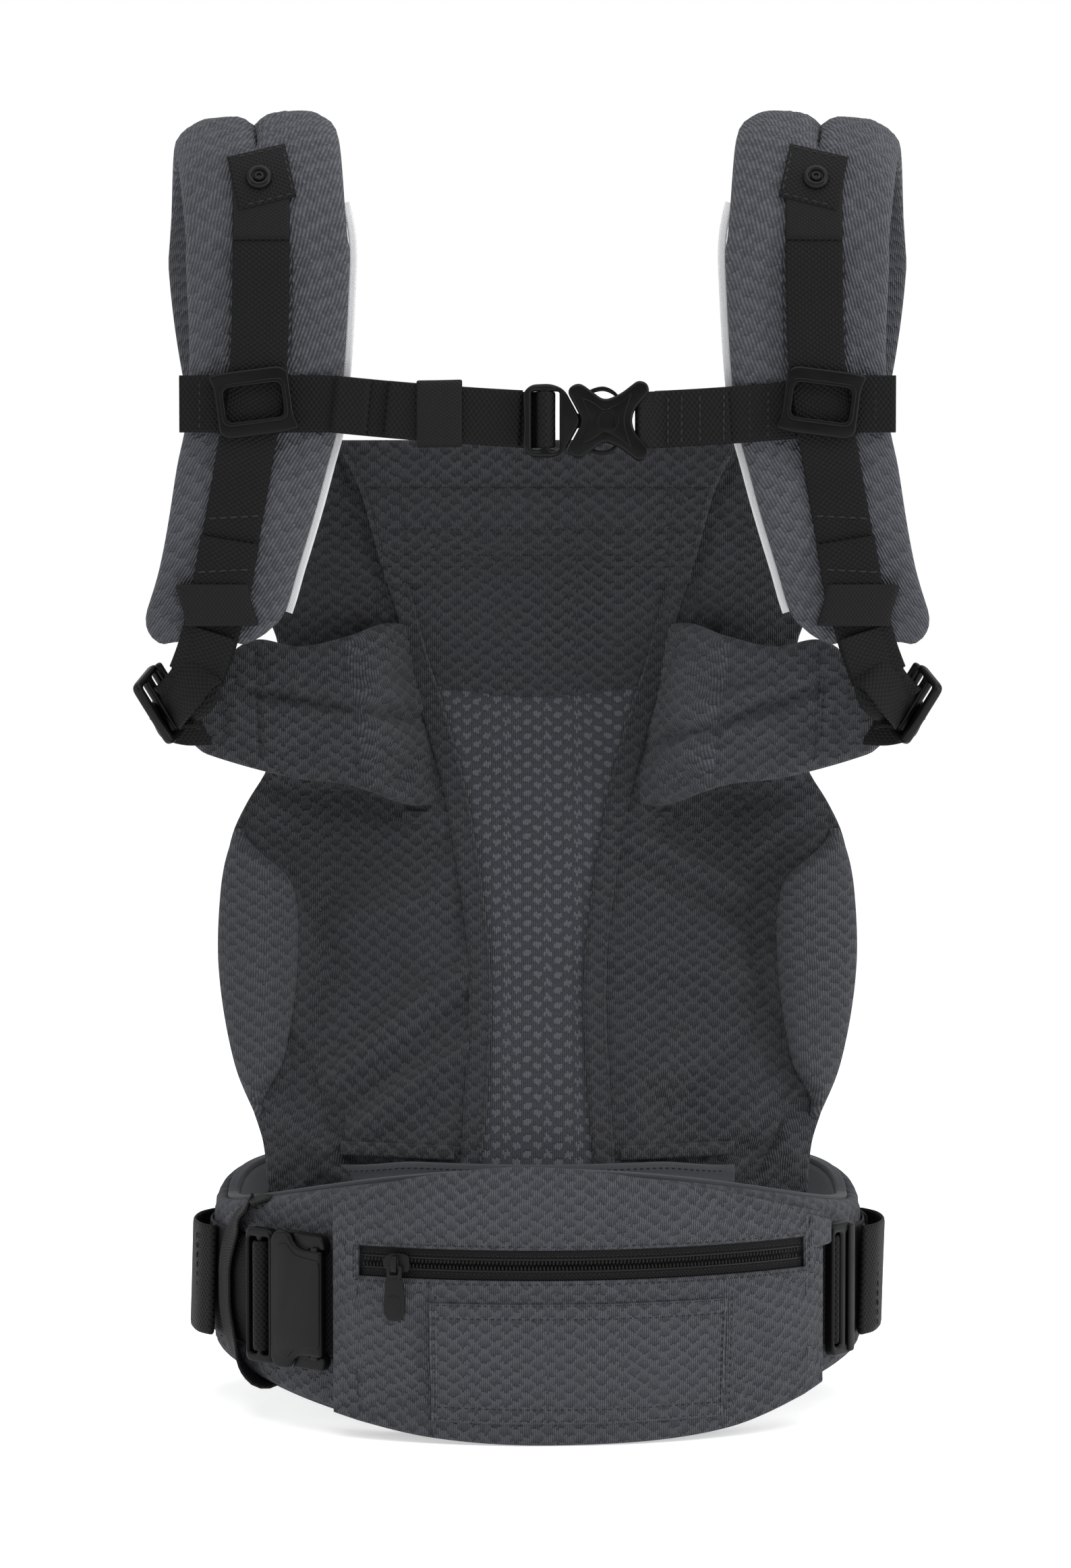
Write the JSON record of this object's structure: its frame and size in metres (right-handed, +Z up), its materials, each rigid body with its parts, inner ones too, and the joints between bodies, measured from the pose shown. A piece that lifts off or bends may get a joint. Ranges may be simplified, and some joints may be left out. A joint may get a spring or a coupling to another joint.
{
  "type": "soft baby carrier",
  "caption": "Soft baby carrier: padded waist belt with zipped pouch, bucket seat panel, folding head support, looped shoulder straps and chest strap.",
  "frame": {"origin": "centre of the floor footprint, on the floor under the belt", "axes": "+Z up, -Y towards the pouch side that faces the viewer, +X to the viewer's right"},
  "size_m": [0.358, 0.2292, 0.5828],
  "materials": {
    "air_mesh": "dark grey dimpled air-mesh knit",
    "lining": "grey woven lining",
    "foam": "open-cell padding",
    "webbing": "black ribbed polyester webbing",
    "piping": "light grey woven piping",
    "black_plastic": "fine matte moulded black",
    "snap_metal": "black painted snap"
  },
  "bodies": {
    "carrier": {"waistbelt_cover": "air_mesh", "waistbelt_foam": "foam", "waistbelt_lining": "lining", "pouch_front": "air_mesh", "pouch_back": "lining", "pouch_pocket": "air_mesh", "zip_tape_upper": "webbing", "zip_tape_lower": "webbing", "zip_coil_upper": "black_plastic", "zip_coil_lower": "black_plastic", "seat_panel_left": "air_mesh", "seat_panel_right": "air_mesh", "seat_strip_left": "air_mesh", "seat_strip_right": "air_mesh", "thigh_pad_left": "air_mesh", "thigh_pad_right": "air_mesh", "seat_mesh": "air_mesh", "seat_base_band": "lining", "shoulder_panel_left": "air_mesh", "shoulder_panel_right": "air_mesh", "side_wing_left": "air_mesh", "side_wing_right": "air_mesh", "shoulder_strap_cover_left": "air_mesh", "shoulder_strap_cover_right": "air_mesh", "shoulder_strap_foam_left": "foam", "shoulder_strap_foam_right": "foam", "shoulder_strap_lining_left": "lining", "shoulder_strap_lining_right": "lining", "strap_piping_left": "piping", "strap_piping_right": "piping", "strap_webbing_left": "webbing", "strap_webbing_right": "webbing", "snap_socket_left": "snap_metal", "snap_socket_right": "snap_metal", "waist_buckle_socket": "black_plastic", "waist_webbing_left": "webbing", "waist_webbing_back": "webbing", "waist_webbing_right": "webbing", "waist_webbing_tail_left": "webbing", "waist_webbing_tail_right": "webbing", "belt_elastic_loop": "webbing"},
    "head": {"head_support": "air_mesh"},
    "zip_runner": {"zip_slider": "black_plastic"},
    "zip_tab": {"zip_pull": "black_plastic"},
    "chest_strap": {"chest_slider_left": "black_plastic", "chest_slider_right": "black_plastic", "chest_webbing_left": "webbing", "chest_webbing_right": "webbing", "chest_buckle_socket": "black_plastic"},
    "chest_plug": {"chest_buckle_plug": "black_plastic", "chest_webbing_tail": "webbing"},
    "chest_prong_top": {"chest_prong_upper": "black_plastic"},
    "chest_prong_bottom": {"chest_prong_lower": "black_plastic"},
    "chest_elastic": {"chest_keeper": "webbing"},
    "waist_plug": {"waist_buckle_plug": "black_plastic"},
    "waist_prong_top": {"waist_prong_upper": "black_plastic"},
    "waist_prong_bottom": {"waist_prong_lower": "black_plastic"},
    "adjuster_left": {"strap_adjuster_left": "black_plastic"},
    "adjuster_right": {"strap_adjuster_right": "black_plastic"},
    "adjuster_waist": {"waist_adjuster_right": "black_plastic"}
  },
  "joints": [
    {"name": "head_fold", "type": "hinge", "parent": "carrier", "child": "head", "pos_m": [0, 0.006, 0.3815], "axis": [1, 0, 0], "range_deg": [0, 60]},
    {"name": "zip_run", "type": "hinge", "parent": "carrier", "child": "zip_runner", "pos_m": [-0.0013, 0.0927, 0.079], "axis": [0, 0, 1], "range_deg": [0, 49]},
    {"name": "zip_pull_swing", "type": "hinge", "parent": "zip_runner", "child": "zip_tab", "pos_m": [-0.06215, -0.10633, 0.0778], "axis": [-0.9563, 0.2924, 0], "range_deg": [0, 125]},
    {"name": "chest_height", "type": "slide", "parent": "carrier", "child": "chest_strap", "axis": [0, 0, 1], "range_m": [0, 0.045]},
    {"name": "chest_release", "type": "slide", "parent": "chest_strap", "child": "chest_plug", "axis": [-1, 0, 0], "range_m": [0, 0.03], "deforming": ["chest_webbing_left"]},
    {"name": "chest_prong_upper_squeeze", "type": "hinge", "parent": "chest_plug", "child": "chest_prong_top", "pos_m": [0.0205, -0.0666, 0.455], "axis": [0, 1, 0], "range_deg": [0, 8], "stiffness_Nm_per_rad": 0.1},
    {"name": "chest_prong_lower_squeeze", "type": "hinge", "parent": "chest_plug", "child": "chest_prong_bottom", "pos_m": [0.0205, -0.0666, 0.433], "axis": [0, 1, 0], "range_deg": [-8, 0], "stiffness_Nm_per_rad": 0.1},
    {"name": "chest_keeper_slide", "type": "slide", "parent": "chest_plug", "child": "chest_elastic", "axis": [-0.9971, 0, 0.0758], "range_m": [-0.01, 0.012]},
    {"name": "waist_release", "type": "slide", "parent": "carrier", "child": "waist_plug", "axis": [-0.7747, 0.6323, 0], "range_m": [0, 0.03], "deforming": ["waist_webbing_left"]},
    {"name": "waist_prong_upper_squeeze", "type": "hinge", "parent": "waist_plug", "child": "waist_prong_top", "pos_m": [-0.11569, -0.06641, 0.0777], "axis": [0.6323, 0.7747, 0], "range_deg": [0, 8], "stiffness_Nm_per_rad": 0.3},
    {"name": "waist_prong_lower_squeeze", "type": "hinge", "parent": "waist_plug", "child": "waist_prong_bottom", "pos_m": [-0.11569, -0.06641, 0.0377], "axis": [0.6323, 0.7747, 0], "range_deg": [-8, 0], "stiffness_Nm_per_rad": 0.3},
    {"name": "strap_adjuster_left_tilt", "type": "hinge", "parent": "carrier", "child": "adjuster_left", "pos_m": [-0.167, -0.044, 0.319], "axis": [-0.4811, -0.273, 0.8331], "range_deg": [-15, 15]},
    {"name": "strap_adjuster_right_tilt", "type": "hinge", "parent": "carrier", "child": "adjuster_right", "pos_m": [0.167, -0.044, 0.319], "axis": [0.4811, -0.273, 0.8331], "range_deg": [-15, 15]},
    {"name": "waist_adjuster_tilt", "type": "hinge", "parent": "carrier", "child": "adjuster_waist", "pos_m": [0.1299, -0.05133, 0.0577], "axis": [0, 0, -1], "range_deg": [0, 30]}
  ],
  "couplings": [
    {"joint": "chest_prong_lower_squeeze", "follows": "chest_prong_upper_squeeze", "ratio": -1},
    {"joint": "waist_prong_lower_squeeze", "follows": "waist_prong_upper_squeeze", "ratio": -1}
  ]
}
